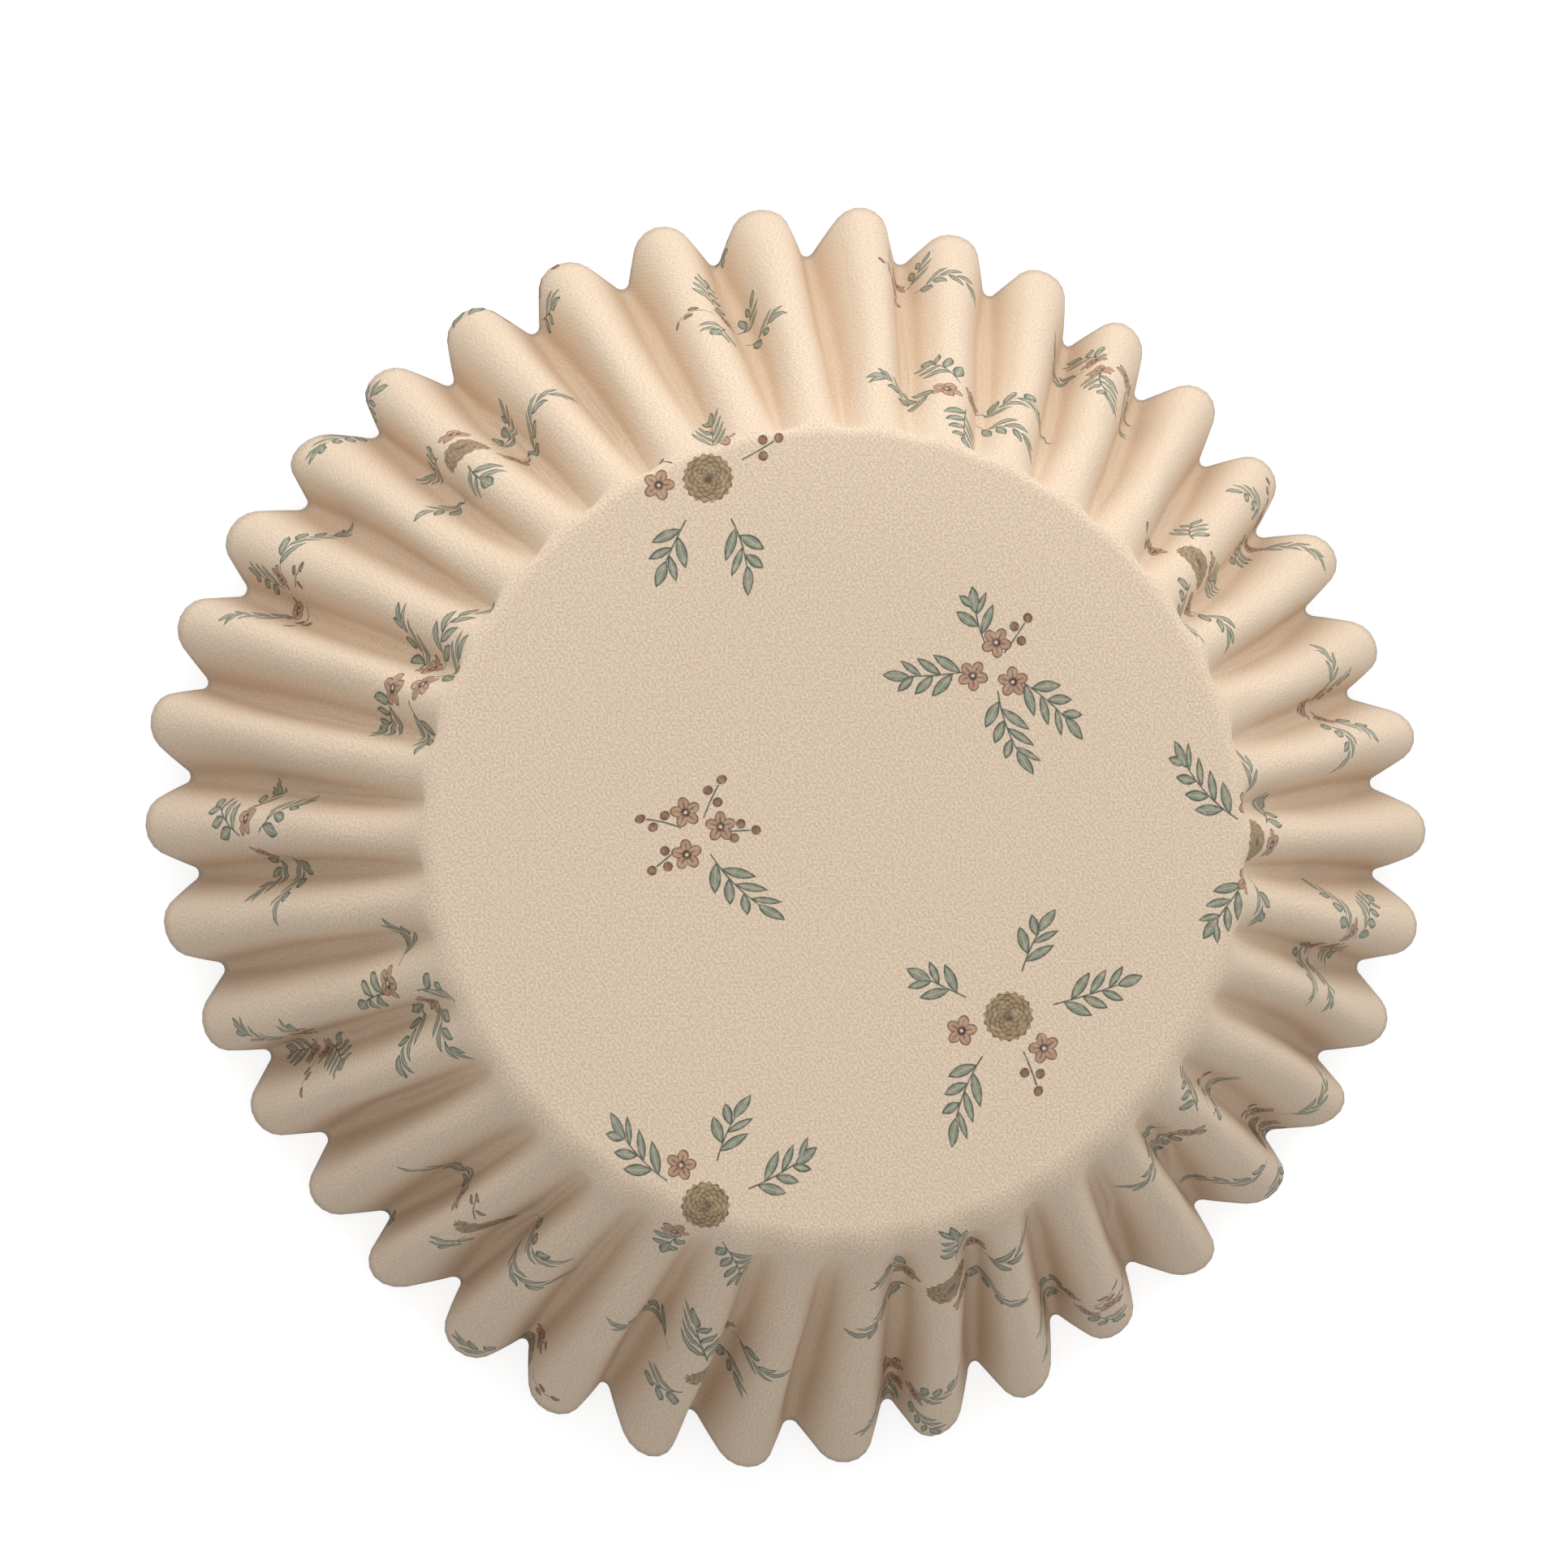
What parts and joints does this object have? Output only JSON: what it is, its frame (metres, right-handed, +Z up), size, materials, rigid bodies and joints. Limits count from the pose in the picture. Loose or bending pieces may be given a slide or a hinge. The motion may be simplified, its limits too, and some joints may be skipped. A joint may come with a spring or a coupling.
{
  "type": "cupcake liner",
  "caption": "Fluted paper baking cup with a flat round base, turned upside down so that it rests on its rim.",
  "frame": {"origin": "centre of the footprint, on the surface that the rim rests on", "axes": "+Z up from that surface through the flat base, +X to the right in the picture and +Y to its top"},
  "size_m": [0.082, 0.0802, 0.034],
  "materials": {
    "paper": "matt greaseproof paper, beige with a small printed pattern outside and pale inside"
  },
  "bodies": {
    "root": {"liner": "paper"}
  },
  "joints": []
}
